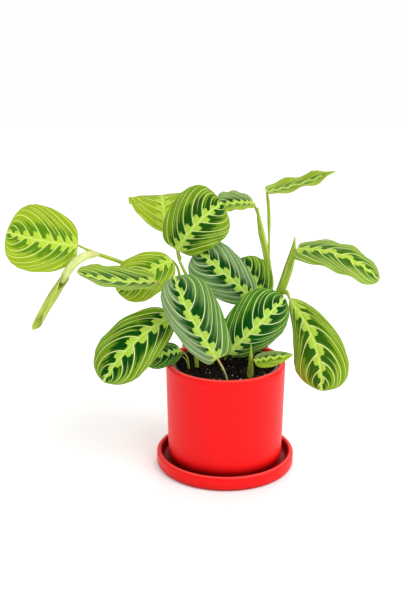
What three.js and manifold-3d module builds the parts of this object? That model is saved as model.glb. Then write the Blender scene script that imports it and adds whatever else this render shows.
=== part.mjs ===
// A potted prayer plant: variegated leaves on arching stalks, in a nursery liner that
// stands in a red glazed cylinder pot with a separate red saucer.
// Millimetres, +Z up. The origin is the middle of the saucer's flat underside and -Y is the front.
import * as THREE from 'three';
import { mergeVertices } from 'three/addons/utils/BufferGeometryUtils.js';
import Module from 'manifold-3d';

const wasm = await Module();
wasm.setup();

// Driving dimensions of the saucer, the pot and the nursery liner
const saucerRadius = 70;
const saucerHeight = 15;
const saucerWall = 5.4;
const saucerFloor = 5;
const potRadius = 60;
const potFootRadius = 58;
const potRimHeight = 111;
const potWall = 6;
const potFloor = 6;
const potHeelRound = 11;
const potDrainRadius = 7;
const linerLipRadius = 52.8;
const linerLipHeight = potRimHeight - 3.6;
const linerWall = 1.2;
const linerFootRadius = 43;
const linerDrainRadius = 5;
const soilHeight = 100.5;
const soilRoughness = 1.1;

// Clearances and fineness of the faceted surfaces
const clearance = 0.3;
const footGap = 0.75;
const bladeThickness = 0.8;
const bladeRows = 12;
const bladeColumns = 8;
const stalkSides = 8;
const stalkStep = 11;
const potSides = 44;
const linerSides = 36;
const veinSweep = 0.17;
const rolledShare = 0.45;

const glaze = { color: 0xe0161a, roughness: 0.45, metalness: 0 };
const linerPlastic = { color: 0x2b2522, roughness: 0.5, metalness: 0 };
const pottingSoil = { color: 0x17120f, roughness: 0.95, metalness: 0 };
const stalkGreen = { color: 0xa3b83a, roughness: 0.55, metalness: 0 };
const leafDark = { color: 0x2f7a22, roughness: 0.5, metalness: 0 };
const leafLime = { color: 0x8fc12a, roughness: 0.5, metalness: 0 };

const group = new THREE.Group();

function addPiece(name, geometry, finish) {
  const mesh = new THREE.Mesh(geometry, new THREE.MeshStandardMaterial(finish));
  mesh.name = name;
  group.add(mesh);
  return mesh;
}

// A closed geometry with only its positions kept and its shared corners merged
function merged(geometry) {
  geometry.deleteAttribute('normal');
  geometry.deleteAttribute('uv');
  return mergeVertices(geometry, 1e-4);
}

function toSolid(geometry) {
  const closed = merged(geometry);
  return new wasm.Manifold(new wasm.Mesh({
    numProp: 3,
    vertProperties: new Float32Array(closed.attributes.position.array),
    triVerts: new Uint32Array(closed.index.array),
  }));
}

function toGeometry(solid) {
  const mesh = solid.getMesh();
  const geometry = new THREE.BufferGeometry();
  geometry.setAttribute('position', new THREE.BufferAttribute(mesh.vertProperties, 3));
  geometry.setIndex(new THREE.BufferAttribute(mesh.triVerts, 1));
  return geometry;
}

// A turned piece: its profile is a list of [radius, height], and arcs are filled in by arcPoints
function turned(profile, sides) {
  const points = profile.map(([r, z]) => new THREE.Vector2(r, z));
  return new THREE.LatheGeometry(points, sides).rotateX(Math.PI / 2);
}

function arcPoints(centreR, centreZ, radius, fromDegrees, toDegrees, steps) {
  return Array.from({ length: steps + 1 }, (_, i) => {
    const angle = THREE.MathUtils.degToRad(fromDegrees + ((toDegrees - fromDegrees) * i) / steps);
    return [centreR + radius * Math.cos(angle), centreZ + radius * Math.sin(angle)];
  });
}

function makeSaucer() {
  const underRound = 4;
  const lipRound = saucerWall / 2;
  const gutterRound = 3;
  const wallInside = saucerRadius - saucerWall;
  return turned([
    [0, 0],
    ...arcPoints(saucerRadius - underRound, underRound, underRound, -90, 0, 3),
    ...arcPoints(saucerRadius - lipRound, saucerHeight - lipRound, lipRound, 0, 180, 6),
    ...arcPoints(wallInside - gutterRound, saucerFloor + gutterRound, gutterRound, 0, -90, 3),
    [0, saucerFloor],
  ], potSides);
}

function makePot() {
  const rimRound = 2.6;
  const innerRound = 6;
  const footRing = 5;
  const footRecess = 1.2;
  const bottom = saucerFloor;
  const inside = potFootRadius - potWall;
  const heel = potFootRadius - potHeelRound;
  return turned([
    [potDrainRadius, bottom + footRecess],
    [heel - footRing, bottom + footRecess],
    [heel - footRing + footRecess, bottom],
    ...arcPoints(heel, bottom + potHeelRound, potHeelRound, -90, 0, 5),
    ...arcPoints(potRadius - rimRound, potRimHeight - rimRound, rimRound, 0, 90, 3),
    ...arcPoints(potRadius - potWall + rimRound, potRimHeight - rimRound, rimRound, 90, 180, 3),
    ...arcPoints(inside - innerRound, bottom + potFloor + innerRound, innerRound, 0, -90, 3),
    [potDrainRadius, bottom + potFloor],
    [potDrainRadius, bottom + footRecess],
  ], potSides);
}

// The liner's wall runs straight from its foot to the rolled lip, so both faces follow one slope
const linerBottom = saucerFloor + potFloor;
const linerNeckRadius = linerLipRadius - 2;

function linerInside(height) {
  const along = (height - linerBottom) / (linerLipHeight - linerBottom);
  return linerFootRadius + (linerNeckRadius - linerFootRadius) * along - linerWall;
}

function makeLiner() {
  const lipDrop = 3;
  return turned([
    [linerDrainRadius, linerBottom],
    [linerFootRadius, linerBottom],
    [linerNeckRadius - 0.25, linerLipHeight - lipDrop],
    [linerLipRadius, linerLipHeight - lipDrop],
    [linerLipRadius, linerLipHeight - 0.8],
    [linerLipRadius - 0.8, linerLipHeight],
    [linerNeckRadius - linerWall + 0.4, linerLipHeight],
    [linerInside(linerLipHeight - 1), linerLipHeight - 1],
    [linerInside(linerBottom + linerWall), linerBottom + linerWall],
    [linerDrainRadius, linerBottom + linerWall],
    [linerDrainRadius, linerBottom],
  ], linerSides);
}

// Clumps of potting soil: a few crossed waves that never repeat within the pot
function soilTop(x, y) {
  const coarse = Math.sin(x * 0.21 + 1.3) * Math.cos(y * 0.24 - 0.7);
  const medium = Math.sin(x * 0.47 - y * 0.31) * Math.cos(y * 0.55 + x * 0.18);
  const dish = -1.5 * (1 - Math.hypot(x, y) / linerLipRadius);
  return soilHeight + soilRoughness * (coarse + 0.6 * medium) + dish;
}

function makeSoil() {
  const rings = 7;
  const edge = linerInside(soilHeight) - clearance;
  const foot = linerInside(linerBottom + linerWall) - clearance;
  const profile = [[0, linerBottom + linerWall + clearance], [foot, linerBottom + linerWall + clearance]];
  for (let ring = rings; ring > 0; ring -= 1) {
    profile.push([(edge * ring) / rings, soilHeight]);
  }
  profile.push([0, soilHeight]);
  const geometry = merged(turned(profile, linerSides));
  const place = geometry.attributes.position;
  for (let i = 0; i < place.count; i += 1) {
    if (place.getZ(i) > soilHeight - 1) {
      place.setZ(i, soilTop(place.getX(i), place.getY(i)));
    }
  }
  return geometry;
}

// A round stalk through its points. Its radius runs from the first value to the last,
// and a third value in the middle swells or narrows it there.
function makeStalk(points, radii, grow = 0, sink = 0) {
  const route = points.map((p) => new THREE.Vector3(...p));
  route[0].z -= sink;
  const path = new THREE.CatmullRomCurve3(route, false, 'centripetal');
  const steps = Math.max(2, Math.round(path.getLength() / stalkStep));
  const section = new THREE.Shape();
  for (let i = 0; i <= stalkSides; i += 1) {
    const angle = (2 * Math.PI * i) / stalkSides;
    section[i ? 'lineTo' : 'moveTo'](Math.cos(angle), Math.sin(angle));
  }
  const geometry = merged(new THREE.ExtrudeGeometry(section, { steps, extrudePath: path }));
  const centres = path.getSpacedPoints(steps);
  const corner = new THREE.Vector3();
  for (let i = 0; i < geometry.attributes.position.count; i += 1) {
    corner.fromBufferAttribute(geometry.attributes.position, i);
    const away = centres.map((c) => c.distanceTo(corner));
    const ring = away.indexOf(Math.min(...away));
    const along = (ring / steps) * (radii.length - 1);
    const segment = Math.min(Math.floor(along), radii.length - 2);
    const radius = THREE.MathUtils.lerp(radii[segment], radii[segment + 1], along - segment) + grow;
    corner.sub(centres[ring]).multiplyScalar(radius).add(centres[ring]);
    geometry.attributes.position.setXYZ(i, corner.x, corner.y, corner.z);
  }
  return geometry;
}

function joined(solids) {
  return solids.reduce((whole, next) => whole.add(next));
}

// The half width of a blade where a row starts on the midrib: blunt at the foot, drawn to a point at the end
function halfWidth(leaf, s) {
  const [footRound, endRound] = leaf.ends ?? [0.46, 0.6];
  const widest = footRound / (footRound + endRound);
  const most = widest ** footRound * (1 - widest) ** endRound;
  return ((leaf.width / 2) * s ** footRound * (1 - s) ** endRound) / most;
}

// The midrib: a straight run from foot to tip, raised by arch, bowed sideways by bend and hooked at its end
function midrib(leaf, u) {
  const rise = leaf.arch * 4 * u * (1 - u) - (leaf.hook ?? 0) * Math.max(0, u - 0.6) ** 2 / 0.16;
  const side = (leaf.bend ?? 0) * 4 * u * (1 - u);
  return leaf.start.clone()
    .addScaledVector(leaf.run, u)
    .addScaledVector(leaf.up, rise)
    .addScaledVector(leaf.right, side);
}

// A point of the blade's middle surface. s runs along the midrib and t across it, from -1 at the left
// margin to 1 at the right one. Rows of equal s sweep forward to the margin as the side veins do,
// and near the foot they fall back into two round lobes. Skew makes the right half wider than the left.
// A rolled leaf opens towards both its ends, where it is narrow, so that its two faces never cross.
function bladePoint(leaf, s, t) {
  const across = Math.abs(t);
  const lobe = (leaf.lobe ?? 0.05) * (s / 0.12) * Math.exp(1 - s / 0.12);
  const u = s + veinSweep * 4 * s * (1 - s) * across ** 1.4 - lobe * across ** 2;
  const near = 0.01;
  const along = midrib(leaf, u + near).sub(midrib(leaf, u - near)).normalize();
  const turn = THREE.MathUtils.degToRad(leaf.twist ?? 0) * (u - 0.5);
  const up = leaf.up.clone().addScaledVector(along, -leaf.up.dot(along)).normalize()
    .applyAxisAngle(along, turn);
  const right = along.clone().cross(up);
  const half = halfWidth(leaf, s) * (1 + Math.sign(t) * (leaf.skew ?? 0));
  const furl = leaf.rolled ? Math.min(1, half / (rolledShare * leaf.width)) : 1;
  const curl = THREE.MathUtils.degToRad(leaf.cup[t < 0 ? 0 : 1]) * furl || 1e-6;
  const reach = (half * Math.sin(curl * across)) / curl;
  const ripple = Math.sin(2 * Math.PI * (leaf.waves ?? 3) * u + (leaf.phase ?? 0) + (t < 0 ? 2 : 0));
  const lift = (half * (1 - Math.cos(curl * across))) / curl
    + leaf.wave * across ** 2.5 * Math.sin(Math.PI * s) * ripple;
  return midrib(leaf, u).addScaledVector(right, Math.sign(t) * reach).addScaledVector(up, lift);
}

function bladeNormal(leaf, s, t) {
  const near = 0.02;
  const before = bladePoint(leaf, Math.max(s - near, 0.02), t);
  const along = bladePoint(leaf, Math.min(s + near, 0.98), t).sub(before);
  const inward = bladePoint(leaf, s, Math.max(t - near, -1));
  const over = bladePoint(leaf, s, Math.min(t + near, 1)).sub(inward);
  return over.cross(along).normalize();
}

function makeBlade(leaf) {
  const corners = [];
  const faces = [];
  const rows = bladeRows;
  const columns = leaf.columns ?? bladeColumns;
  for (const face of [1, -1]) {
    for (let i = 0; i <= rows; i += 1) {
      const even = i / rows;
      const s = 0.35 * even + 0.65 * (1 - Math.cos(Math.PI * even)) / 2;
      const ended = i === 0 || i === rows;
      for (let j = 0; j <= (ended ? 0 : columns); j += 1) {
        const t = ended ? 0 : -1 + (2 * j) / columns;
        const where = ended ? Math.min(Math.max(s, 0.03), 0.97) : s;
        const point = bladePoint(leaf, s, t);
        point.addScaledVector(bladeNormal(leaf, where, t), (face * bladeThickness) / 2);
        corners.push(point.x, point.y, point.z);
      }
    }
  }
  const perFace = corners.length / 6;
  const at = (i, j, low) => {
    if (i === 0) return low * perFace;
    if (i === rows) return low * perFace + perFace - 1;
    return low * perFace + 1 + (i - 1) * (columns + 1) + j;
  };
  const addFace = (a, b, c) => {
    if (a !== b && b !== c && a !== c) faces.push(a, b, c);
  };
  for (let i = 0; i < rows; i += 1) {
    for (let j = 0; j < columns; j += 1) {
      const quad = (low) => [at(i, j, low), at(i, j + 1, low), at(i + 1, j + 1, low), at(i + 1, j, low)];
      const [a, b, c, d] = quad(0);
      const [e, f, g, h] = quad(1);
      addFace(a, b, c);
      addFace(a, c, d);
      addFace(e, g, f);
      addFace(e, h, g);
    }
    for (const [j, left] of [[0, true], [columns, false]]) {
      const wall = [at(i, j, 0), at(i + 1, j, 0), at(i + 1, j, 1), at(i, j, 1)];
      const [a, b, c, d] = left ? wall : wall.reverse();
      addFace(a, b, c);
      addFace(a, c, d);
    }
  }
  const geometry = new THREE.BufferGeometry();
  geometry.setAttribute('position', new THREE.Float32BufferAttribute(corners, 3));
  geometry.setIndex(faces);
  return geometry;
}

function readyLeaf(leaf) {
  const start = new THREE.Vector3(...leaf.foot);
  const run = new THREE.Vector3(...leaf.tip).sub(start);
  const ahead = run.clone().normalize();
  const face = new THREE.Vector3(...leaf.face);
  const up = face.addScaledVector(ahead, -face.dot(ahead)).normalize();
  return { ...leaf, start, run, up, right: ahead.clone().cross(up) };
}

// Every leaf: where its blade starts and ends, which way its upper side looks, its width, how far the
// midrib arches, how many degrees each half curls (left, right) and how the margin waves.
const leaves = {
  leaf_far_left: {
    foot: [-143, -8, 231], tip: [-206, -30, 249], face: [-0.1, -1, 0.3],
    width: 64, arch: 3, bend: -2, cup: [10, 10], wave: 1.4, waves: 3, phase: 0.5,
    ends: [0.48, 0.56], lobe: 0.05, skew: 0.03, lime: true,
  },
  leaf_hanging_rolled: {
    foot: [-152, -23, 208], tip: [-187, -28, 151], face: [0.4, -1, 0],
    width: 29, arch: 1, bend: 2, cup: [196, 166], wave: 0, ends: [0.65, 1], lobe: 0,
    rolled: true, columns: 12, lime: true,
  },
  leaf_left_shelf: {
    foot: [-68, -24, 200], tip: [-138, -58, 217], face: [0.05, -0.34, 1],
    width: 40, arch: -4, cup: [8, 12], wave: 1, waves: 3, phase: 1, ends: [0.42, 0.78], lobe: 0.1, skew: 0.15,
  },
  leaf_left_lime: {
    foot: [-53, 12, 211], tip: [-106, -10, 185], face: [-0.1, -1, 0.6],
    width: 48, arch: 7, cup: [-20, -20], wave: 1.4, waves: 3, phase: 2, lime: true,
  },
  leaf_top_left: {
    foot: [-60, 44, 232], tip: [-66, 98, 260], face: [0, -0.8, 0.7],
    width: 70, arch: 13, cup: [4, 4], wave: 2, waves: 4, phase: 0, ends: [0.55, 0.5], lobe: 0, lime: true,
  },
  leaf_top_center: {
    foot: [-48, 12, 221], tip: [-4, 16, 267.5], face: [0, -1, 0.2],
    width: 62, arch: 6, bend: -4, cup: [-14, -14], wave: 1.3, waves: 3, phase: 1,
    ends: [0.45, 0.47], lobe: 0.09, skew: -0.05,
  },
  leaf_top_small: {
    foot: [29, 56, 259.5], tip: [-9, 42, 259], face: [0, -0.5, 0.9],
    width: 32, arch: 3, cup: [20, 20], wave: 1, waves: 3, phase: 0,
  },
  leaf_top_right: {
    foot: [42, 56, 271], tip: [112, 64, 291], face: [-0.1, -0.05, 1],
    width: 38, arch: -2, cup: [26, 0], wave: 2, waves: 2.4, phase: 1, ends: [0.5, 1.2], lobe: 0.1, lime: true,
  },
  leaf_right_arch: {
    foot: [70, 16, 221], tip: [149, -6, 196], face: [0.3, -0.5, 1],
    width: 48, arch: 12, cup: [-12, -16], wave: 1.5, waves: 3, phase: 1, ends: [0.42, 0.6], lobe: 0.12,
  },
  leaf_right_low: {
    foot: [62.5, -2, 175.5], tip: [94, -26, 88], face: [-0.2, -1, 0.25],
    width: 56, arch: 8, bend: -10, cup: [-14, -38], wave: 1.5, waves: 3, phase: 0, ends: [0.85, 0.62],
  },
  leaf_center: {
    foot: [26, 8, 174], tip: [-28.5, 19, 220], face: [0, -1, 0.4],
    width: 50, arch: 4, cup: [-8, -10], wave: 1.4, waves: 3, phase: 0, ends: [0.46, 0.48], skew: -0.08,
  },
  leaf_center_back: {
    foot: [38.5, 22.5, 169], tip: [13, 40.5, 204.5], face: [0.2, -1, 0.4],
    width: 46, arch: 4, cup: [-12, -16], wave: 1.4, waves: 3, phase: 2,
  },
  leaf_front_right: {
    foot: [1, -22, 126], tip: [57, -10, 179], face: [0.1, -1, 0.25],
    width: 58, arch: 8, cup: [-10, -50], wave: 1.4, waves: 3, phase: 1, skew: -0.04,
  },
  leaf_front: {
    foot: [-9, -46, 129], tip: [-50, -42, 209], face: [-0.1, -1, 0.1],
    width: 52, arch: 7, bend: -2, cup: [-14, -12], wave: 1.2, waves: 3, phase: 1.5,
    ends: [0.52, 0.58], lobe: 0.14, skew: 0.12,
  },
  leaf_left_low: {
    foot: [-53, -22, 164], tip: [-118, -50, 107], face: [-0.3, -1, 0.5],
    width: 57, arch: 9, bend: 4, cup: [-60, -12], wave: 1.4, waves: 3, phase: 0.4,
  },
  leaf_back_left: {
    foot: [-8, 58, 138], tip: [-28, 86, 68], face: [-0.4, 1, 0.5],
    width: 50, arch: 9, cup: [-14, -20], wave: 1.4, waves: 3, phase: 1,
  },
  leaf_back_right: {
    foot: [24, 62, 139], tip: [26, 88, 70], face: [0.3, 1, 0.4],
    width: 46, arch: 9, cup: [-18, -12], wave: 1.4, waves: 3, phase: 0,
  },
  leaf_rim_small: {
    foot: [-45, -4, 122.5], tip: [-81, -24, 119], face: [-0.1, -1, 0.7],
    width: 27, arch: 3, cup: [-10, -10], wave: 0.8, waves: 2, phase: 0,
  },
  leaf_rim_pointed: {
    foot: [27, -34, 123], tip: [64, -42, 132], face: [0.1, -1, 0.5],
    width: 16, arch: 2, cup: [-20, -20], wave: 0.6, waves: 2, ends: [0.45, 1.4], skew: 0.15,
  },
};

// Every stalk: its node, the points it runs through from the soil up, and its radii along the way.
// One that ends in a leaf's name stops just short of that leaf's foot.
const stalks = [
  ['stem_far_left', [
    [-29, 6, 78], [-29, 6, 104], [-34, 18, 135], [-58, 28, 177], [-102, 22, 205], [-127.5, 2, 220.5],
    'leaf_far_left'], [2.3, 2.2, 2.1, 2.1, 2.1, 2.1, 2.1, 2, 0.9]],
  ['stem_far_left', [
    [-124, 5, 218.5], [-135, -9, 220.5], [-144, -19, 217], 'leaf_hanging_rolled'], [1.7, 4.3, 4.5, 2.2]],
  ['stem_left', [
    [-14, 33, 78], [-14, 33, 104], [-26, 10, 145], [-46, -12, 178], 'leaf_left_shelf'], [2.2, 1.8, 1]],
  ['stem_left', [[-28, 8, 148], [-43, 14, 180], [-48, 23, 200], 'leaf_left_lime'], [1.7, 1.5, 1]],
  ['stem_center', [
    [-5, 37, 78], [-5, 37, 104], [-16, 26, 145], [-41.5, 14, 200], [-47, 15, 213],
    'leaf_top_center'], [2.6, 2.6, 2.2, 1.1]],
  ['stem_center', [[-45, 15, 211], [-50, 26, 222], 'leaf_top_left'], [1.5, 1.4, 1.1]],
  ['stem_top_right', [
    [19, 39, 78], [19, 39, 104], [30, 40, 140], [46, 40, 173], [44, 44, 196], [41, 48, 213], [36.5, 52, 232],
    [32.5, 54, 255]], [2.4, 2.6, 2.9, 3.3, 3.4, 3.4, 3.4, 1.1]],
  ['stem_top_right', [[34, 54, 246], [32, 57, 251], 'leaf_top_small'], [1.2, 1.1, 0.9]],
  ['stem_top_right', [
    [44.6, 45, 192], [45, 55, 232], [44, 56.5, 256], 'leaf_top_right'],
    [1.6, 1.3, 1.2, 1.2, 1.2, 1.75, 1.75, 1.75, 1.7, 1]],
  ['stem_right', [
    [27, 28, 78], [27, 28, 104], [38, 20, 140], [55, 14, 179], [66, 20, 214], [68.5, 22, 232]],
    [2.4, 2.5, 2.7, 3, 3.4, 3.8, 4.2, 4.5, 4.6, 3.2, 0.5]],
  ['stem_right', [[65, 19, 212], [68, 18, 218], 'leaf_right_arch'], [1.6, 1.3, 1]],
  ['stem_right', [[54, 14, 177], [58.5, 9, 179.5], [61, 3, 179], 'leaf_right_low'], [2.6, 2.4, 1.1]],
  ['stem_front', [[0.5, -34, 78], [0.5, -34, 102], [-3.5, -41, 117], 'leaf_front'], [1.2, 1.1, 0.9]],
  ['shoot_front', [[24, -20, 78], [24, -20, 104], [24, -27, 121], [23.5, -31, 138]], [3.2, 3.1, 0.5]],
  ['shoot_front', [[24.5, -27, 119], [26, -31, 122], 'leaf_rim_pointed'], [1.5, 1.1, 0.8]],
  ['stem_rim_small', [[-37, 0, 78], [-37, 0, 104], [-39, -1, 115], 'leaf_rim_small'], [1.1, 1, 0.7]],
  ['stem_left_low', [
    [-22, 25, 78], [-22, 25, 104], [-32, 0, 140], [-45, -16, 160], 'leaf_left_low'], [1.9, 1.6, 1]],
  ['stem_middle', [[9, 36, 78], [9, 36, 104], [13, 20, 145], [27, 14, 163], 'leaf_center'], [2, 1.6, 0.8]],
  ['stem_middle', [[12, 26, 128], [38, 30, 155], 'leaf_center_back'], [1.5, 1.3, 0.8]],
  ['stem_back', [[2, 43, 78], [2, 43, 104], [0, 44, 121], [-6, 51, 133], 'leaf_back_left'], [2, 1.7, 0.9]],
  ['stem_back', [[1.8, 42.6, 111], [9, 45, 124], [20, 53.5, 135], 'leaf_back_right'], [1.6, 1.4, 0.9]],
  ['stem_front_right', [[0, 27, 78], [0, 27, 105], [-2, -4, 118], 'leaf_front_right'], [1.6, 1.4, 1]],
];

// Turns a stalk's last point, where it names a leaf, into a place just short of that leaf's foot
function ended(points) {
  const last = points.at(-1);
  if (!leaves[last]) return points;
  const foot = new THREE.Vector3(...leaves[last].foot);
  const back = new THREE.Vector3(...points.at(-2)).sub(foot).setLength(footGap);
  return [...points.slice(0, -1), foot.add(back).toArray()];
}

addPiece('saucer', makeSaucer(), glaze);
addPiece('pot', makePot(), glaze);
addPiece('liner', makeLiner(), linerPlastic);

const stems = {};
const holes = [];
for (const [name, route, radii] of stalks) {
  const points = ended(route);
  (stems[name] ??= []).push(toSolid(makeStalk(points, radii)));
  if (points[0][2] < soilHeight) holes.push(toSolid(makeStalk(points, radii, clearance, 1)));
}
addPiece('soil', toGeometry(toSolid(makeSoil()).subtract(joined(holes))), pottingSoil);
for (const [name, parts] of Object.entries(stems)) {
  addPiece(name, toGeometry(joined(parts)), stalkGreen);
}
for (const [name, leaf] of Object.entries(leaves)) {
  addPiece(name, makeBlade(readyLeaf(leaf)), leaf.lime ? leafLime : leafDark);
}

export default group;
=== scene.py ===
# %% [markdown]
# # A potted prayer plant, dressed in Blender
# The plant is a lemon-lime prayer plant. Its leaves are dark green with pale side veins and a
# feathered lime band along the midrib. It grows in a thin nursery liner inside a red glazed pot
# that stands on a loose saucer. The solid model of the part comes in first as a fixed frame, and
# every piece below is made finer than its solid and put exactly where that solid is.

import math
from functools import partial
from types import SimpleNamespace

import bpy
import numpy as np
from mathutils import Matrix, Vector


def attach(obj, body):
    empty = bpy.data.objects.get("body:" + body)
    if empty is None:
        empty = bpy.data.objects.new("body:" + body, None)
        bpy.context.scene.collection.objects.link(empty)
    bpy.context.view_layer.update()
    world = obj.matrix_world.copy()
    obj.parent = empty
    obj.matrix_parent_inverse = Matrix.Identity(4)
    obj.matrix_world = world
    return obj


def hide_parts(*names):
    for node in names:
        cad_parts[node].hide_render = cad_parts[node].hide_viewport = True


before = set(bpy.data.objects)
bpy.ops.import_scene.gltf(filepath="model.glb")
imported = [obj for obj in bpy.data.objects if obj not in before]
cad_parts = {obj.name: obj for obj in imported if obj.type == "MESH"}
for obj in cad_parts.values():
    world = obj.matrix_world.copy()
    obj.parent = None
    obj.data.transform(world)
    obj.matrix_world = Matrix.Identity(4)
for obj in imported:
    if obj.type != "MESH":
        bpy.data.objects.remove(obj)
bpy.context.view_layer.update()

# %% [markdown]
# ## Working in millimetres, colours in sRGB
# A potter or a grower measures in millimetres, and Blender's scene is in metres, so one helper
# turns a list of corners and faces in millimetres into a mesh object. Colours are picked as
# sRGB hex values, as a paint chart gives them. The shader works in linear light, so one function
# turns them to linear with the standard sRGB curve.

# %% Colour and mesh helpers
MM = 0.001


def linear(hex_colour):
    values = [int(hex_colour[i:i + 2], 16) / 255 for i in (1, 3, 5)]
    return [v / 12.92 if v <= 0.04045 else ((v + 0.055) / 1.055) ** 2.4 for v in values] + [1.0]


def make_piece(name, corners_mm, faces, materials):
    mesh = bpy.data.meshes.new(name)
    mesh.from_pydata((np.asarray(corners_mm, float) * MM).tolist(), [], faces)
    mesh.validate()
    for material in materials:
        mesh.materials.append(material)
    mesh.shade_smooth()
    piece = bpy.data.objects.new(name, mesh)
    bpy.context.scene.collection.objects.link(piece)
    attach(piece, "root")
    print("piece", name, "with", len(mesh.polygons), "faces")
    return piece


# %% [markdown]
# ## One helper for shader nodes
# Every material below is a small graph of nodes. Adding a node is always the same three moves:
# make it, set its values, link its inputs. One function does that. Names in small letters are the
# node's own settings. The others are inputs, by name or as i and a number, and each takes a
# number, a colour or the output of an earlier node. The function hands back one output. The
# settings that come back most often are kept as small dictionaries: a mix of two colours, four
# kinds of sum, and a range with soft ends.

# %% The node helper
PAINT = dict(output=2, data_type="RGBA")
TIMES = dict(operation="MULTIPLY")
TIMES_PLUS = dict(operation="MULTIPLY_ADD")
PLUS = dict(operation="ADD")
LESS = dict(operation="SUBTRACT")
EASED = dict(interpolation_type="SMOOTHSTEP")


def add(tree, kind, output=0, **values):
    node = tree.nodes.new("ShaderNode" + kind)
    for name, value in values.items():
        if name[0].islower() and not name[1:].isdigit():
            setattr(node, name, value)
            continue
        socket = node.inputs[int(name[1:]) if name[0] == "i" else name.replace("_", " ")]
        if isinstance(value, bpy.types.NodeSocket):
            tree.links.new(value, socket)
        else:
            socket.default_value = value
    return node.outputs[output] if node.outputs else node


def new_material(name):
    material = bpy.data.materials.new(name)
    material.use_nodes = True
    material.node_tree.nodes.clear()
    print("finish", name)
    return material, partial(add, material.node_tree)


# %% [markdown]
# ## The camera
# The picture was taken from a little above the rim, looking down about 17 degrees. The distance
# and the lens come from how the round rim and the saucer flatten to ellipses in it.

# %% Place the camera
CAMERA_PITCH = math.radians(16.83)
CAMERA_DISTANCE = 0.9603
CAMERA_TARGET = Vector((-0.02515, 0.0, 0.17308))
SENSOR_WIDTH, FOCAL_LENGTH_PX, FRAME_HEIGHT_PX = 36, 974, 601

camera_data = bpy.data.cameras.new("camera")
camera_data.lens = SENSOR_WIDTH * FOCAL_LENGTH_PX / FRAME_HEIGHT_PX
camera_data.sensor_width = SENSOR_WIDTH
camera = bpy.data.objects.new("camera", camera_data)
bpy.context.scene.collection.objects.link(camera)
back = Vector((0, -math.cos(CAMERA_PITCH), math.sin(CAMERA_PITCH)))
camera.location = CAMERA_TARGET + back * CAMERA_DISTANCE
camera.rotation_euler = (math.pi / 2 - CAMERA_PITCH, 0, 0)
bpy.context.scene.camera = camera
print("camera at", [round(v, 3) for v in camera.location], "lens", round(camera_data.lens, 1))

# %% [markdown]
# ## Soft high-key light on a white sheet
# The plant is lit bright from all round, as a product picture is, with the light a little
# stronger from the right, so the sky does most of the work. A broad sun from the front right
# gives the leaves and the pot their shape. The sky that mirror-like rays meet is dimmer than the
# one that lights the surfaces: in a studio the walls behind the lamps are dark, and that keeps
# deep greens and the red glaze from going chalky. The sheet glows faintly, so that it stays
# white as an overexposed backdrop does. A picture of a studio could light the scene too, but a
# plain sky and three lamps are easier to tune one by one.

# %% The sky
SKY_LIGHT, SKY_IN_MIRRORS = 0.72, 0.12

scene = bpy.context.scene
scene.view_settings.view_transform = "Standard"
scene.view_settings.look = "None"
world = bpy.data.worlds.new("studio")
scene.world = world
world.use_nodes = True
world.node_tree.nodes.clear()
put = partial(add, world.node_tree)
lighting = put("Background", Color=linear("#ffffff"), Strength=SKY_LIGHT)
mirrored = put("Background", Color=linear("#ffffff"), Strength=SKY_IN_MIRRORS)
backdrop = put("Background", Color=linear("#fefefe"), Strength=1.0)
sky = put("MixShader", i0=put("LightPath", "Is Glossy Ray"), i1=lighting, i2=mirrored)
sky = put("MixShader", i0=put("LightPath", "Is Camera Ray"), i1=sky, i2=backdrop)
put("OutputWorld", Surface=sky)
print("sky strength", SKY_LIGHT, "in mirrors", SKY_IN_MIRRORS)

# %% Lamps and floor
LIT_POINT = Vector((0, 0, 0.14))
SHEET_REACH, SHEET_GLOW = 3, 0.15

for kind, name, place, power, size in (
        ("SUN", "broad key", (0.75, -0.8, 1.3), 1.1, math.radians(40)),
        ("AREA", "back softbox", (0.2, 0.95, 1.0), 3, 0.6),
        ("AREA", "right softbox", (1.1, -0.5, 0.5), 3, 0.5)):
    lamp_data = bpy.data.lights.new(name, kind)
    lamp_data.energy = power
    if kind == "SUN":
        lamp_data.angle = size
    else:
        lamp_data.shape, lamp_data.size = "DISK", size
    lamp = bpy.data.objects.new(name, lamp_data)
    lamp.location = place
    lamp.rotation_euler = (LIT_POINT - Vector(place)).to_track_quat("-Z", "Y").to_euler()
    scene.collection.objects.link(lamp)
    print("lamp", name, "power", power)

sheet_white, put = new_material("matt white laminate")
sheet = put("BsdfPrincipled", Base_Color=linear("#fbfbfb"), Roughness=0.9, Specular_IOR_Level=0.2,
            Emission_Color=linear("#ffffff"), Emission_Strength=SHEET_GLOW)
put("OutputMaterial", Surface=sheet)
floor_mesh = bpy.data.meshes.new("floor")
floor_corners = [(x * SHEET_REACH, y * SHEET_REACH, 0) for x, y in ((-1, -1), (1, -1), (1, 1), (-1, 1))]
floor_mesh.from_pydata(floor_corners, [], [(0, 1, 2, 3)])
floor_mesh.materials.append(sheet_white)
floor = bpy.data.objects.new("floor", floor_mesh)
scene.collection.objects.link(floor)

# %% [markdown]
# ## Glazed ceramic, satin red
# The pot and the saucer are slip-cast or jiggered earthenware with a satin glaze. Light spreads
# softly on it. Sharp edges and lips that face up get a paler, pinker painted highlight, and tight
# corners such as the saucer's gutter get a darker red painted shade. Ceramic glaze has an IOR near 1.5.
# It isn't a mirror, so its roughness is about 0.4, varied a little. A low bump gives the faint
# unevenness of a fired surface, about 12 mm across. The orange peel of a real glaze is finer
# than half a millimetre, too fine to show, so it is drawn 1.2 mm wide. A few pinholes are pale
# flecks about 1 mm wide, again as coarse as they need to be to show. All of it is noise in the
# object's own space, because a picture wrapped round the pot would show a seam.

# %% The glaze material
CLOUD, SWELL, PEEL = 45 * MM, 12 * MM, 1.2 * MM
# Pinhole spacing, and how far the painted shade in corners reaches
PINHOLE_SPACING, SHADE_REACH = 26 * MM, 20 * MM

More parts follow.
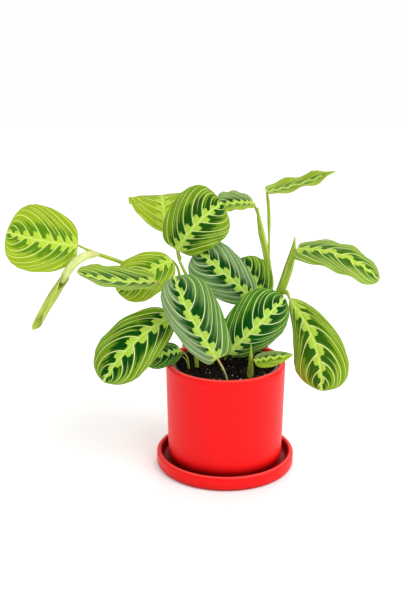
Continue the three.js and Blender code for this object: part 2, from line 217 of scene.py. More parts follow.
glaze, put = new_material("satin red ceramic glaze")
place = put("TexCoord", "Object")
cloud = put("TexNoise", Vector=place, Scale=1 / CLOUD, Detail=3)
swell = put("TexNoise", Vector=place, Scale=1 / SWELL, Detail=2)
peel = put("TexNoise", Vector=place, Scale=1 / PEEL, Detail=2)
# Painted highlight: sharp edges, and lips that face up and stand higher than 12 mm, turn paler and pinker
sharp = put("MapRange", Value=put("NewGeometry", "Pointiness"), From_Min=0.52, From_Max=0.6,
            To_Min=0, To_Max=0.4)
facing_up = put("MapRange", Value=put("SeparateXYZ", "Z", Vector=put("NewGeometry", "Normal")),
                From_Min=0.5, From_Max=0.95, To_Min=0, To_Max=0.5)
lip_high = put("MapRange", Value=put("SeparateXYZ", "Z", Vector=place), From_Min=0.012, From_Max=0.014)
lips_painted_lighter = put("Math", **TIMES, i0=facing_up, i1=lip_high)
thin = put("Math", operation="MAXIMUM", i0=sharp, i1=lips_painted_lighter)
# Painted shade: the red darkens where ambient occlusion finds a corner, as in the saucer's gutter
painted_corner_shade = put("MapRange", Value=put("AmbientOcclusion", "AO", Distance=SHADE_REACH), From_Min=0.8,
             From_Max=0.3, To_Min=0, To_Max=0.85)
pinhole = put("TexVoronoi", Vector=place, Scale=1 / PINHOLE_SPACING, Randomness=1)
fleck = put("MapRange", Value=pinhole, From_Min=0.03, From_Max=0.02, To_Min=0, To_Max=0.8)
red = put("Mix", **PAINT, i0=cloud, i6=linear("#f20608"), i7=linear("#fa0a0c"))
# Over the red go the painted highlight, the painted shade in corners and pale pinhole flecks
for share, tint in ((thin, "#ff6a62"), (painted_corner_shade, "#8e0404"), (fleck, "#ffb0a4")):
    red = put("Mix", **PAINT, i0=share, i6=red, i7=linear(tint))
gloss = put("MapRange", Value=cloud, To_Min=0.36, To_Max=0.46)
broad_bump = put("Bump", Strength=0.12, Distance=0.0004, Height=swell)
fine_bump = put("Bump", Strength=0.08, Distance=0.0001, Height=peel, Normal=broad_bump)
put("OutputMaterial", Surface=put("BsdfPrincipled", Base_Color=red, Roughness=gloss, IOR=1.5,
                                  Specular_IOR_Level=0.2, Normal=fine_bump))

# %% [markdown]
# ## Turned pieces: saucer, pot and liner
# All three are bodies of revolution, so each is a profile of radius and height spun round the
# upright axis. A screw modifier would do it too. Spinning the corners in code keeps both faces
# and every rounding under control. Arcs in the profile give the soft lips and heels that a
# potter leaves, and that catch the light.

# %% Spin a profile
def arc(centre_r, centre_z, radius, start, end, steps=10):
    angles = np.radians(np.linspace(start, end, steps + 1))
    return [(centre_r + radius * math.cos(a), centre_z + radius * math.sin(a)) for a in angles]


def straight(start, end, steps):
    return [(start[0] + (end[0] - start[0]) * i / steps, start[1] + (end[1] - start[1]) * i / steps)
            for i in range(1, steps)]


def spin(name, profile, material, sides=160, closed=False):
    corners, faces, rings = [], [], []
    for r, z in profile:
        if r < 1e-6:
            rings.append([len(corners)])
            corners.append((0, 0, z))
        else:
            rings.append(list(range(len(corners), len(corners) + sides)))
            turn = np.linspace(0, 2 * math.pi, sides, endpoint=False)
            corners += [(r * math.cos(a), r * math.sin(a), z) for a in turn]
    for low, high in zip(rings, rings[1:] + rings[:1] if closed else rings[1:]):
        for i in range(sides):
            j = (i + 1) % sides
            ring = [low[i % len(low)], low[j % len(low)], high[j % len(high)], high[i % len(high)]]
            face = [c for k, c in enumerate(ring) if c not in ring[:k]]
            if len(face) > 2:
                faces.append(face)
    return make_piece(name, corners, faces, [material])


# %% The saucer
SAUCER_RADIUS, SAUCER_HEIGHT, SAUCER_WALL, SAUCER_FLOOR = 70, 15, 5.4, 5
SAUCER_HEEL, GUTTER_ROUND = 4, 3
lip = SAUCER_WALL / 2
gutter = SAUCER_RADIUS - SAUCER_WALL - GUTTER_ROUND
saucer_profile = [
    (0, 0), *straight((0, 0), (SAUCER_RADIUS - SAUCER_HEEL, 0), 5),
    *arc(SAUCER_RADIUS - SAUCER_HEEL, SAUCER_HEEL, SAUCER_HEEL, -90, 0),
    *arc(SAUCER_RADIUS - lip, SAUCER_HEIGHT - lip, lip, 0, 180, 16),
    *arc(gutter, SAUCER_FLOOR + GUTTER_ROUND, GUTTER_ROUND, 0, -90),
    *straight((gutter, SAUCER_FLOOR), (0, SAUCER_FLOOR), 5), (0, SAUCER_FLOOR),
]
saucer = spin("saucer_glazed", saucer_profile, glaze)
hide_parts("saucer")

# %% The pot
POT_RADIUS, POT_FOOT_RADIUS, POT_RIM_HEIGHT, POT_WALL, POT_FLOOR = 60, 58, 111, 6, 6
HEEL_ROUND, RIM_ROUND, INSIDE_ROUND, DRAIN_RADIUS, FOOT_RING, FOOT_RECESS = 11, 2.6, 6, 7, 5, 1.2
heel = POT_FOOT_RADIUS - HEEL_ROUND
wall_top = POT_RIM_HEIGHT - RIM_ROUND
inside_foot = POT_FOOT_RADIUS - POT_WALL
inside_floor = SAUCER_FLOOR + POT_FLOOR
pot_profile = [
    (DRAIN_RADIUS, SAUCER_FLOOR + FOOT_RECESS),
    (heel - FOOT_RING, SAUCER_FLOOR + FOOT_RECESS),
    (heel - FOOT_RING + FOOT_RECESS, SAUCER_FLOOR),
    *arc(heel, SAUCER_FLOOR + HEEL_ROUND, HEEL_ROUND, -90, 0, 14),
    *straight((POT_FOOT_RADIUS, SAUCER_FLOOR + HEEL_ROUND), (POT_RADIUS, wall_top), 24),
    *arc(POT_RADIUS - RIM_ROUND, wall_top, RIM_ROUND, 0, 90, 8),
    *arc(POT_RADIUS - POT_WALL + RIM_ROUND, wall_top, RIM_ROUND, 90, 180, 8),
    *straight((POT_RADIUS - POT_WALL, wall_top), (inside_foot, inside_floor + INSIDE_ROUND), 12),
    *arc(inside_foot - INSIDE_ROUND, inside_floor + INSIDE_ROUND, INSIDE_ROUND, 0, -90, 6),
    (DRAIN_RADIUS, inside_floor),
]
pot = spin("pot_glazed", pot_profile, glaze, closed=True)
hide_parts("pot")

# %% [markdown]
# ## The nursery liner
# Growers sell the plant in a thin black or brown pot that just fits inside the glazed one. Only
# its rolled lip shows, with a pale scuffed edge. It is moulded polypropylene: smooth, slightly
# glossy, IOR about 1.49. The scuff follows a thin ring on the lip, so it is drawn from the
# distance to the upright axis and broken up by a noise of 3 mm.

# %% The liner's plastic
LIP_RADIUS, LIP_HEIGHT, LIP_ROUND, LIP_DROP = 52.8, 107.4, 0.8, 3
SCUFF_RADIUS = LIP_RADIUS - 0.7

liner_plastic, put = new_material("scuffed black polypropylene")
place = put("TexCoord", "Object")
scuff = put("TexNoise", Vector=place, Scale=1 / (3 * MM), Detail=4)
flat_place = put("VectorMath", **TIMES, i0=place, i1=(1, 1, 0))
from_axis = put("VectorMath", "Value", operation="LENGTH", i0=flat_place)
off_ring = put("Math", **LESS, i0=from_axis, i1=SCUFF_RADIUS * MM)
off_ring = put("Math", operation="ABSOLUTE", i0=off_ring)
worn = put("MapRange", Value=off_ring, From_Min=0.0008, From_Max=0.0003, To_Min=0, To_Max=1)
on_top = put("MapRange", Value=put("SeparateXYZ", "Z", Vector=place), From_Min=0.1062, From_Max=0.107)
for share in (on_top, put("MapRange", Value=scuff, From_Min=0.35, From_Max=0.6)):
    worn = put("Math", **TIMES, i0=worn, i1=share)
lip_colour = put("Mix", **PAINT, i0=worn, i6=linear("#1c120e"), i7=linear("#e2cdb4"))
put("OutputMaterial", Surface=put("BsdfPrincipled", Base_Color=lip_colour, Roughness=0.5, IOR=1.49))

# %% The liner
LINER_WALL, LINER_FOOT, LINER_HOLE, INNER_ROUND, LINER_TAPER = 1.2, 43, 5, 0.7, 0.25
LINER_BOTTOM = SAUCER_FLOOR + POT_FLOOR
NECK = LIP_RADIUS - 2


def liner_inside(height):
    along = (height - LINER_BOTTOM) / (LIP_HEIGHT - LINER_BOTTOM)
    return LINER_FOOT + (NECK - LINER_FOOT) * along - LINER_WALL


liner_profile = [
    (LINER_HOLE, LINER_BOTTOM), (LINER_FOOT, LINER_BOTTOM),
    (NECK - LINER_TAPER, LIP_HEIGHT - LIP_DROP), (LIP_RADIUS, LIP_HEIGHT - LIP_DROP),
    *arc(LIP_RADIUS - LIP_ROUND, LIP_HEIGHT - LIP_ROUND, LIP_ROUND, 0, 90, 5),
    *arc(NECK - LINER_WALL + INNER_ROUND, LIP_HEIGHT - INNER_ROUND, INNER_ROUND, 90, 170, 4),
    (liner_inside(LIP_HEIGHT - 2), LIP_HEIGHT - 2),
    (liner_inside(LINER_BOTTOM + LINER_WALL), LINER_BOTTOM + LINER_WALL),
    (LINER_HOLE, LINER_BOTTOM + LINER_WALL),
]
liner = spin("liner_moulded", liner_profile, liner_plastic, sides=128, closed=True)
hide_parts("liner")

# %% [markdown]
# ## Potting soil
# Houseplant soil is dark peat with crumbs of a millimetre or two, a few bark chips and white
# grains of perlite, which is a puffed volcanic glass. The mass is one body whose top follows the
# same waves as the solid, with finer crumbs on it. A displace modifier could raise them, but the
# loose bits have to know the height under them, so the waves are sums of sines. Damp peat is
# nearly black and hardly mirrors the sky, so its specular level is low and its roughness high.

# %% The soil's finish and its waves
SOIL_HEIGHT, SOIL_ROUGHNESS, SOIL_DISH = 100.5, 1.1, 1.5
CRUMB_WAVES = ((4.5, 0.5), (2.3, 0.32), (1.2, 0.2))

soil_mix, put = new_material("damp peat potting soil")
place = put("TexCoord", "Object")
grain = put("TexNoise", Vector=place, Scale=1 / (1.6 * MM), Detail=5)
crumb = put("TexVoronoi", Vector=place, Scale=1 / (1.3 * MM))
earth = put("MapRange", Value=grain, From_Min=0.4, From_Max=0.75)
peat = put("Mix", **PAINT, i0=earth, i6=linear("#080604"), i7=linear("#33261c"))
soil_bump = put("Bump", Strength=0.9, Distance=0.0006, Height=crumb)
put("OutputMaterial", Surface=put("BsdfPrincipled", Base_Color=peat, Roughness=0.85,
                                  Specular_IOR_Level=0.15, Normal=soil_bump))


def soil_top(x, y):
    coarse = np.sin(x * 0.21 + 1.3) * np.cos(y * 0.24 - 0.7)
    medium = np.sin(x * 0.47 - y * 0.31) * np.cos(y * 0.55 + x * 0.18)
    dish = -SOIL_DISH * (1 - np.hypot(x, y) / LIP_RADIUS)
    return SOIL_HEIGHT + SOIL_ROUGHNESS * (coarse + 0.6 * medium) + dish


def crumbs(x, y):
    total = 0
    for size, height in CRUMB_WAVES:
        k = 2 * math.pi / size
        lumps = np.sin(k * x + 3 * np.sin(0.31 * k * y)) * np.sin(k * y + 3 * np.sin(0.27 * k * x))
        total = total + height * lumps
    return total


# %% The soil mass: rings of corners from the middle out, then down the liner and under
RINGS, SPOKES = 64, 160
SOIL_GAP, EDGE_GAP, CRUMBS_FADE = 0.3, 0.2, 2
LOWER_RINGS = (60, LINER_BOTTOM + LINER_WALL + SOIL_GAP)
edge_radius = liner_inside(SOIL_HEIGHT) - EDGE_GAP

corners = [(0, 0, float(soil_top(0, 0)))]
for i in range(1, RINGS + 1):
    r = edge_radius * i / RINGS
    for k in range(SPOKES):
        a = 2 * math.pi * (k + 0.5 * (i % 2)) / SPOKES
        x, y = r * math.cos(a), r * math.sin(a)
        rough = crumbs(x, y) * min(1, (edge_radius - r) / CRUMBS_FADE)
        corners.append((x, y, float(soil_top(x, y) + rough)))
for z in LOWER_RINGS:
    r = liner_inside(z) - SOIL_GAP
    turn = [2 * math.pi * k / SPOKES for k in range(SPOKES)]
    corners += [(r * math.cos(a), r * math.sin(a), z) for a in turn]
corners.append((0, 0, LOWER_RINGS[-1]))

after = [(k, (k + 1) % SPOKES) for k in range(SPOKES)]
faces = [(0, 1 + k, 1 + n) for k, n in after]
for i in range(RINGS + 1):
    a, b = 1 + i * SPOKES, 1 + (i + 1) * SPOKES
    faces += [(a + k, b + k, b + n, a + n) for k, n in after]
faces += [(b + n, b + k, len(corners) - 1) for k, n in after]
soil = make_piece("soil_mass", corners, faces, [soil_mix])
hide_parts("soil")

# %% [markdown]
# ## Loose crumbs, perlite and bark
# The loose bits are small irregular stones of their own, because they catch light and shade that
# no bump map would. One stone is a rounded polyhedron with each corner pushed in or out. Many of
# them are scattered over the soil, half sunk, with sizes and turns drawn from a seeded generator,
# so the bed is the same on every run. The largest perlite grains lie where the picture has them.

# %% Shape and scatter small bits
STONE_SIDES, STONE_LAYERS, STONE_ROUGHNESS, SCATTER_REACH = 7, 5, 0.22, 47
rng = np.random.default_rng(7)


def stone_shape(sides, layers):
    points = [(0, 0, 1)]
    for i in range(1, layers):
        polar = math.pi * i / layers
        turn = [2 * math.pi * (k + 0.5 * i) / sides for k in range(sides)]
        points += [(math.sin(polar) * math.cos(a), math.sin(polar) * math.sin(a), math.cos(polar))
                   for a in turn]
    points.append((0, 0, -1))
    after = [(k, (k + 1) % sides) for k in range(sides)]
    shape_faces = [(0, 1 + k, 1 + n) for k, n in after]
    for i in range(layers - 2):
        a, b = 1 + i * sides, 1 + (i + 1) * sides
        shape_faces += [(a + k, b + k, b + n, a + n) for k, n in after]
    return np.array(points), shape_faces + [(b + k, len(points) - 1, b + n) for k, n in after]


def scatter(name, spots, sizes, stretch, material, sink=0.35):
    shape, shape_faces = stone_shape(STONE_SIDES, STONE_LAYERS)
    corners, faces = [], []
    for (x, y), size in zip(spots, sizes):
        bits = shape * (1 + STONE_ROUGHNESS * rng.standard_normal((len(shape), 1)).clip(-1.5, 1.5))
        bits = bits * np.array(stretch) * size * (1 + 0.25 * rng.uniform(-1, 1, 3))
        a, b = rng.uniform(0, 2 * math.pi), rng.uniform(-0.5, 0.5)
        turn_z = np.array([[math.cos(a), -math.sin(a), 0], [math.sin(a), math.cos(a), 0], [0, 0, 1]])
        turn_x = np.array([[1, 0, 0], [0, math.cos(b), -math.sin(b)], [0, math.sin(b), math.cos(b)]])
        bits = bits @ turn_x.T @ turn_z.T
        base = float(soil_top(x, y)) + size * stretch[2] * (1 - 2 * sink)
        faces += [tuple(v + len(corners) for v in f) for f in shape_faces]
        corners += (bits + [x, y, base]).tolist()
    piece = make_piece(name, corners, faces, [material])


def spots_on_soil(count):
    r = SCATTER_REACH * np.sqrt(rng.uniform(0, 1, count))
    a = rng.uniform(0, 2 * math.pi, count)
    return list(zip((r * np.cos(a)).tolist(), (r * np.sin(a)).tolist()))


# %% [markdown]
# ## What the bits are made of
# Perlite is puffed white glass, dusty and full of pits. The real pits are finer than 0.3 mm, so
# they are drawn 0.5 mm wide to show at all. Pine bark is brown and fibrous, and matt when it has
# been composted. Crumbs of peat take the soil's own finish.

# %% Perlite, bark and crumbs
CRUMB_COUNT, GRAIN_COUNT, CHIP_COUNT = 1100, 85, 60

perlite_white, put = new_material("puffed perlite")
place = put("TexCoord", "Object")
pits = put("TexVoronoi", Vector=place, Scale=1 / (0.5 * MM))
dust = put("TexNoise", Vector=place, Scale=1 / (1.5 * MM), Detail=3)
perlite_colour = put("Mix", **PAINT, i0=dust, i6=linear("#8f7f74"), i7=linear("#efe9e2"))
perlite_bump = put("Bump", Strength=0.6, Distance=0.0002, Height=pits)
put("OutputMaterial", Surface=put("BsdfPrincipled", Base_Color=perlite_colour, Roughness=0.8,
                                  Normal=perlite_bump))

bark_brown, put = new_material("composted pine bark")
fibre = put("TexNoise", Vector=put("TexCoord", "Object"), Scale=1 / (1.1 * MM), Detail=4)
bark_colour = put("Mix", **PAINT, i0=fibre, i6=linear("#1c100a"), i7=linear("#6a4228"))
put("OutputMaterial", Surface=put("BsdfPrincipled", Base_Color=bark_colour, Roughness=0.8,
                                  Specular_IOR_Level=0.3))

scatter("peat_crumbs", spots_on_soil(CRUMB_COUNT), rng.uniform(0.5, 1.5, CRUMB_COUNT), (1.2, 1, 0.75),
        soil_mix)
large_grains = [(14.5, -30), (6.5, -16), (31, -38), (-27, -36), (10, -38), (-6, -28), (35, -30), (-38, -20)]
large_sizes = [1.8, 1.0, 1.2, 1.0, 0.8, 0.9, 0.8, 0.8]
scatter("perlite_grains", large_grains + spots_on_soil(GRAIN_COUNT),
        large_sizes + list(rng.uniform(0.3, 0.75, GRAIN_COUNT)), (1.1, 1, 0.85), perlite_white, sink=0.2)
scatter("bark_chips", spots_on_soil(CHIP_COUNT), rng.uniform(0.6, 1.3, CHIP_COUNT), (2.6, 0.8, 0.5),
        bark_brown, sink=0.2)

# %% [markdown]
# ## Leaf pattern: where a point is on the blade
# The leaf's colours follow its veins, so the blade carries its own coordinates in three UV maps.
# "veins" holds the number of the vein that a point lies on, counted along the midrib, with
# fractions between veins, and how far out from the midrib the point is. "margin" holds the place
# along the blade and the share of the half width. "dress" holds the leaf's age and how much
# painted grey sheen that half has. Four noises make the pattern uneven, as growth does: patches
# of 9 mm, ragged edges of 1.4 mm, and strokes and finer hairs that are drawn out along the veins.
# An image could be painted for each leaf, but one graph of nodes fits every leaf and stays sharp.

# %% The blade's own coordinates
PATCH, RAGGED = 9 * MM, 1.4 * MM
COUNT_FROM = 10  # keeps the vein numbers above zero, where fractions run one way


def blade_place(put):
    veins, margin, dress = (put("SeparateXYZ", Vector=put("UVMap", uv_map=title)).node.outputs
                            for title in ("veins", "margin", "dress"))
    count = put("Math", **PLUS, i0=veins["X"], i1=COUNT_FROM)
    side = put("Math", operation="GREATER_THAN", i0=veins["Y"], i1=0.5)
    out, edge = (put("Math", operation="ABSOLUTE", i0=put("Math", **TIMES_PLUS, i0=share, i1=2, i2=-1))
                 for share in (veins["Y"], margin["Y"]))
    place = put("TexCoord", "Object")
    drawn = []
    for per_vein, outward, detail in ((4.0, 1.6, 3), (9.0, 2.4, 2)):
        sums = [put("Math", **TIMES, i0=a, i1=b) for a, b in ((count, per_vein), (out, outward), (side, 7.3))]
        drawn_out = put("CombineXYZ", X=sums[0], Y=sums[1], Z=sums[2])
        drawn.append(put("TexNoise", Vector=drawn_out, Scale=1, Detail=detail))
    return SimpleNamespace(
        age=dress["X"], painted_sheen=dress["Y"], along=margin["X"], edge=edge, out=out, side=side, count=count,
        step=put("Math", operation="FRACT", i0=count),
        near=put("Math", operation="PINGPONG", i0=count, i1=0.5),
        mottle=put("TexNoise", Vector=place, Scale=1 / PATCH, Detail=3),
        jag=put("TexNoise", Vector=place, Scale=1 / RAGGED, Detail=1), stroke=drawn[0], hair=drawn[1])


# %% [markdown]
# ## Leaf pattern: the green between the veins
# A full-grown half is deep green near the midrib and fresher towards the margin, and a young one
# is lime all over. The border between them is ragged: a "zone" value grows from the midrib out,
# and strokes and patches push it to and fro. Then come layers of paint, each over the one
# before: fresh green, the same beside each vein, pale hairs, the paler margin, and a painted grey
# sheen where the waxy skin would mirror the light.

# %% Green, pale strokes, margin and wax
YOUNG = dict(deep="#5c900f", fresh="#97b41a", pale="#c0d03a", rim="#a9c02a")
GROWN = dict(deep="#024703", fresh="#347506", pale="#7fa434", rim="#5f9020")
DEEP_AGE = 0.6


def leaf_green(put, at):
    deepened = put("MapRange", Value=at.age, From_Max=DEEP_AGE)
    tone = {key: put("Mix", **PAINT, i0=deepened if key == "deep" else at.age, i6=linear(YOUNG[key]),
                     i7=linear(GROWN[key])) for key in YOUNG}
    zone = at.edge
    for pull, weight in ((at.stroke, 1.3), (at.mottle, 0.5), (at.age, -0.1)):
        zone = put("Math", **TIMES_PLUS, i0=pull, i1=weight, i2=zone)
    newest = put("MapRange", Value=at.age, From_Min=0.0, From_Max=-0.3, To_Min=0, To_Max=0.5)
    zone = put("Math", **PLUS, i0=zone, i1=newest)
    outer = put("MapRange", **EASED, Value=zone, From_Min=1.22, From_Max=1.52)
    by_vein = put("MapRange", **EASED, Value=at.near, From_Min=0.2, From_Max=0.04, To_Max=0.4)
    strokes = put("Math", **TIMES,
                  i0=put("MapRange", **EASED, Value=at.hair, From_Min=0.5, From_Max=0.68, To_Max=0.5),
                  i1=put("MapRange", **EASED, Value=at.edge, From_Min=0.3, From_Max=0.75))
    at_rim = put("MapRange", **EASED, Value=at.edge, From_Min=0.86, From_Max=1.0, To_Max=0.6)
    outward = put("MapRange", **EASED, Value=zone, From_Min=1.0, From_Max=1.35)
    off_vein = put("MapRange", **EASED, Value=at.near, From_Min=0.5, From_Max=0.25, To_Min=0.55, To_Max=1.0)
    # Painted sheen: a grey layer out from the midrib and away from the veins, as strong as the half's sheen
    # value
    painted_sheen_share = put("Math", **TIMES, i0=put("Math", **TIMES, i0=at.painted_sheen, i1=outward), i1=off_vein)
    green = tone["deep"]
    for share, layer in ((outer, tone["fresh"]), (by_vein, tone["fresh"]), (strokes, tone["pale"]),
                         (at_rim, tone["rim"]), (painted_sheen_share, linear("#86a272"))):
        green = put("Mix", **PAINT, i0=share, i6=green, i7=layer)
    return green


# %% [markdown]
# ## Leaf pattern: the feathered band
# Along the midrib runs the lime band that the plant is named for. It is narrow, and in front of
# each vein it reaches out in a lobe that steps back towards the next one, with small teeth. So
# its edge is a sum: a base width, plus the lobe times a saw of teeth, plus a little raggedness.
# It narrows towards the tip and widens a little at the stalk.

# %% The lime band
BAND_WIDTH, BAND_AT_STALK, LOBE_REACH, TOOTH_DEPTH, TEETH_PER_VEIN = 0.062, 0.06, 0.175, 0.05, 5.5


def lime_band(put, at):
    to_tip = put("MapRange", **EASED, Value=at.along, From_Min=1.0, From_Max=0.6, To_Min=0.3, To_Max=1.0)
    at_stalk = put("MapRange", **EASED, Value=at.along, From_Min=0.22, From_Max=0.0, To_Max=BAND_AT_STALK)
    lobe = put("Math", **TIMES, i0=put("MapRange", **EASED, Value=at.step, From_Min=0.7, From_Max=0.4),
               i1=put("MapRange", **EASED, Value=at.step, From_Min=0.0, From_Max=0.06))
    saw = put("Math", **TIMES_PLUS, i0=at.step, i1=TEETH_PER_VEIN, i2=at.jag)
    teeth = put("Math", operation="FRACT", i0=saw)
    reach = put("Math", **TIMES_PLUS, i0=teeth, i1=-TOOTH_DEPTH, i2=LOBE_REACH)
    reach = put("Math", **TIMES, i0=put("Math", **TIMES, i0=reach, i1=lobe), i1=to_tip)
    base = put("Math", **TIMES_PLUS, i0=to_tip, i1=BAND_WIDTH, i2=at_stalk)
    band_edge = put("Math", **PLUS, i0=base, i1=reach)
    band_edge = put("Math", **TIMES_PLUS, i0=at.jag, i1=0.05, i2=band_edge)
    band_edge = put("Math", **LESS, i0=band_edge, i1=0.02)
    over = put("Math", **LESS, i0=at.out, i1=band_edge)
    ribbed = put("MapRange", **EASED, Value=teeth, From_Min=0.0, From_Max=1.0)
    young_band = put("Mix", **PAINT, i0=ribbed, i6=linear("#bfd742"), i7=linear("#a8c832"))
    grown_band = put("Mix", **PAINT, i0=ribbed, i6=linear("#b6d65a"), i7=linear("#98c248"))
    band = put("Mix", **PAINT, i0=at.age, i6=young_band, i7=grown_band)
    return put("MapRange", **EASED, Value=over, From_Min=0.012, From_Max=-0.012), band


# %% [markdown]
# ## Leaf pattern: the veins
# Thin pale lines follow the side veins and widen a little towards the margin, where they fade.
# In some of the gaps a fainter line runs halfway between two veins. A white noise on the number
# of the gap picks which ones, so the choice is even but not regular.

# %% Lines on the veins and between some of them
VEIN_WIDTH, VEIN_SPREAD, FAINT_WIDTH, FAINT_SPREAD = 0.03, 0.03, 0.012, 0.02


def vein_lines(put, at):
    squared = put("Math", **TIMES, i0=at.edge, i1=at.edge)
    width = put("Math", **TIMES_PLUS, i0=squared, i1=VEIN_SPREAD, i2=VEIN_WIDTH)
    line = put("MapRange", **EASED, Value=put("Math", **LESS, i0=at.near, i1=width), From_Min=0.02,
               From_Max=-0.012)
    halfway = put("Math", **LESS, i0=0.5, i1=at.near)
    slim = put("Math", **TIMES_PLUS, i0=at.edge, i1=FAINT_SPREAD, i2=FAINT_WIDTH)
    faint = put("MapRange", **EASED, Value=put("Math", **LESS, i0=halfway, i1=slim), From_Min=0.02,
                From_Max=-0.01)
    gap_number = put("Math", **TIMES_PLUS, i0=at.side, i1=31, i2=put("Math", operation="FLOOR", i0=at.count))
    chance = put("TexWhiteNoise", "Value", noise_dimensions="1D", W=gap_number)
    picked = put("MapRange", **EASED, Value=chance, From_Min=0.6, From_Max=0.75, To_Max=0.55)
    mid_blade = put("Math", **TIMES, i0=put("MapRange", **EASED, Value=at.out, From_Min=0.2, From_Max=0.4),
                    i1=put("MapRange", **EASED, Value=at.edge, From_Min=0.95, From_Max=0.75))
    for share in (picked, mid_blade):
        faint = put("Math", **TIMES, i0=faint, i1=share)
    lines = put("Math", operation="MAXIMUM", i0=line, i1=faint)
    fading = put("MapRange", **EASED, Value=at.edge, From_Min=1.0, From_Max=0.85, To_Min=0.25, To_Max=1.0)
    return put("Math", **TIMES, i0=lines, i1=fading)


# %% [markdown]
# ## Leaf pattern: all of it on a waxy skin
# Green, band, veins and the yellow midrib go over each other in that order. A waxy leaf has an
# IOR near 1.45. Its sheen is weak and soft, so the specular level is low and the roughness about
# 0.45. The veins and hairs also raise the surface a little, for the light to catch.

# %% The leaf material
def leaf_material(name):
    material, put = new_material(name)
    at = blade_place(put)
    lines = vein_lines(put, at)
    vein = put("Mix", **PAINT, i0=at.age, i6=linear("#eef48e"), i7=linear("#dcebaa"))
    rib = put("MapRange", **EASED, Value=at.out, From_Min=0.03, From_Max=0.012, To_Max=0.7)
    paint = leaf_green(put, at)
    for share, layer in (lime_band(put, at), (lines, vein), (rib, linear("#cfec70"))):
        paint = put("Mix", **PAINT, i0=share, i6=paint, i7=layer)
    relief = put("Math", **TIMES_PLUS, i0=at.hair, i1=0.25, i2=put("Math", **TIMES, i0=lines, i1=0.7))
    bump = put("Bump", Strength=0.5, Distance=0.0003, Height=relief)
    gloss = put("MapRange", **EASED, Value=at.mottle, From_Min=0.2, From_Max=0.8, To_Min=0.38, To_Max=0.52)
    put("OutputMaterial", Surface=put("BsdfPrincipled", Base_Color=paint, Roughness=gloss, IOR=1.45,
                                      Specular_IOR_Level=0.1, Normal=bump))
    return material


lime_leaf = leaf_material("young lime leaf, waxy")
dark_leaf = leaf_material("full-grown leaf, waxy")

# %% [markdown]
# ## The underside
# Below, the blade is paler and duller, and its veins stand out as fine ridges. The same vein
# coordinates draw them with little contrast. The youngest leaf is still rolled up, so it mostly
# shows this side, drawn out in long stripes of olive and pale yellow green.

# %% The underside materials
STRIPE_LENGTH = 2.2


def underside_material(name, ground, vein, stripes):
    material, put = new_material(name)
    veins, margin = (put("SeparateXYZ", Vector=put("UVMap", uv_map=title)).node.outputs
                     for title in ("veins", "margin"))
    count = put("Math", **PLUS, i0=veins["X"], i1=COUNT_FROM)
    near = put("Math", operation="PINGPONG", i0=count, i1=0.5)
    line = put("MapRange", Value=near, From_Min=0.09, From_Max=0.03)
    mottle = put("TexNoise", Vector=put("TexCoord", "Object"), Scale=1 / (6 * MM), Detail=3)
    across = put("Math", **TIMES, i0=margin["Y"], i1=stripes)
    along = put("Math", **TIMES, i0=margin["X"], i1=STRIPE_LENGTH)
    grain = put("TexNoise", Vector=put("CombineXYZ", X=across, Y=along), Scale=1, Detail=3)
    striped = put("MapRange", Value=grain, From_Min=0.38, From_Max=0.62)
    tone = put("Mix", **PAINT, i0=striped, i6=linear(ground[0]), i7=linear(ground[1]))
    paint = put("Mix", **PAINT, i0=put("Math", **TIMES, i0=line, i1=mottle), i6=tone, i7=linear(vein))
    relief = put("Math", **PLUS, i0=line, i1=grain)
    bump = put("Bump", Strength=0.5, Distance=0.0004, Height=relief)
    put("OutputMaterial", Surface=put("BsdfPrincipled", Base_Color=paint, Roughness=0.6, IOR=1.45,
                                      Specular_IOR_Level=0.3, Normal=bump))
    return material


pale_underside = underside_material("leaf underside, matt", ("#7ba048", "#98bb5c"), "#c8dc8c", 9.0)
lime_underside = underside_material("young leaf underside, matt", ("#96b82a", "#b4d040"), "#dcea86", 9.0)
rolled_skin = underside_material("rolled young leaf, matt", ("#98b232", "#d2e064"), "#eef3b4", 12.0)

# %% [markdown]
# ## Leaf blades
# Each blade is a sheet bent over its midrib. The sizes repeat the solid's: where the blade
# starts and ends, which way its upper side looks, its width, the arch of the midrib, the curl of
# each half and the waves of its margin. Values that most leaves share stand in one place. The
# side veins leave the midrib at about 55 degrees and bend forward until they run along the
# margin, as measured on the front leaf, so each runs through about 0.6 of the blade's length.
# A leaf could be cut from a plane and bent by hand, but sizes in a list keep it on its solid.

# %% Skins and usual values
lime, dark, furled = [lime_leaf, lime_underside], [dark_leaf, pale_underside], [rolled_skin, rolled_skin]
USUAL_LEAF = dict(bend=0, ends=(0.46, 0.6), lobe=0.05, skew=0, waves=3, phase=0, quilt=0.6, veins=6.5,
                  painted_sheen=(0, 0), skin=dark, rolled=False)
print("a usual leaf has", USUAL_LEAF["veins"], "veins on each side and", USUAL_LEAF["waves"], "waves")

# %% The midrib, the outline and the count of veins
VEIN_SWEEP, VEIN_WOBBLE = 0.17, 0.04
LOBE_PLACE = 0.12
FIRST_VEIN, RIGHT_HALF_LATER = -0.25, 0.45


def unit(v):
    return v / np.linalg.norm(v, axis=-1, keepdims=True)


def midrib(leaf, u):
    rise = leaf["arch"] * 4 * u * (1 - u)
    side = leaf["bend"] * 4 * u * (1 - u)
    straight_to = leaf["start"] + u[..., None] * leaf["run"]
    return straight_to + rise[..., None] * leaf["up"] + side[..., None] * leaf["right"]


def half_width(leaf, s):
    foot, end = leaf["ends"]
    widest = foot / (foot + end)
    most = widest ** foot * (1 - widest) ** end
    return leaf["width"] / 2 * s ** foot * (1 - s) ** end / most


def along_midrib(leaf, s, across):
    lobe = leaf["lobe"] * (s / LOBE_PLACE) * np.exp(1 - s / LOBE_PLACE)
    return s + VEIN_SWEEP * 4 * s * (1 - s) * across ** 1.4 - lobe * across ** 2


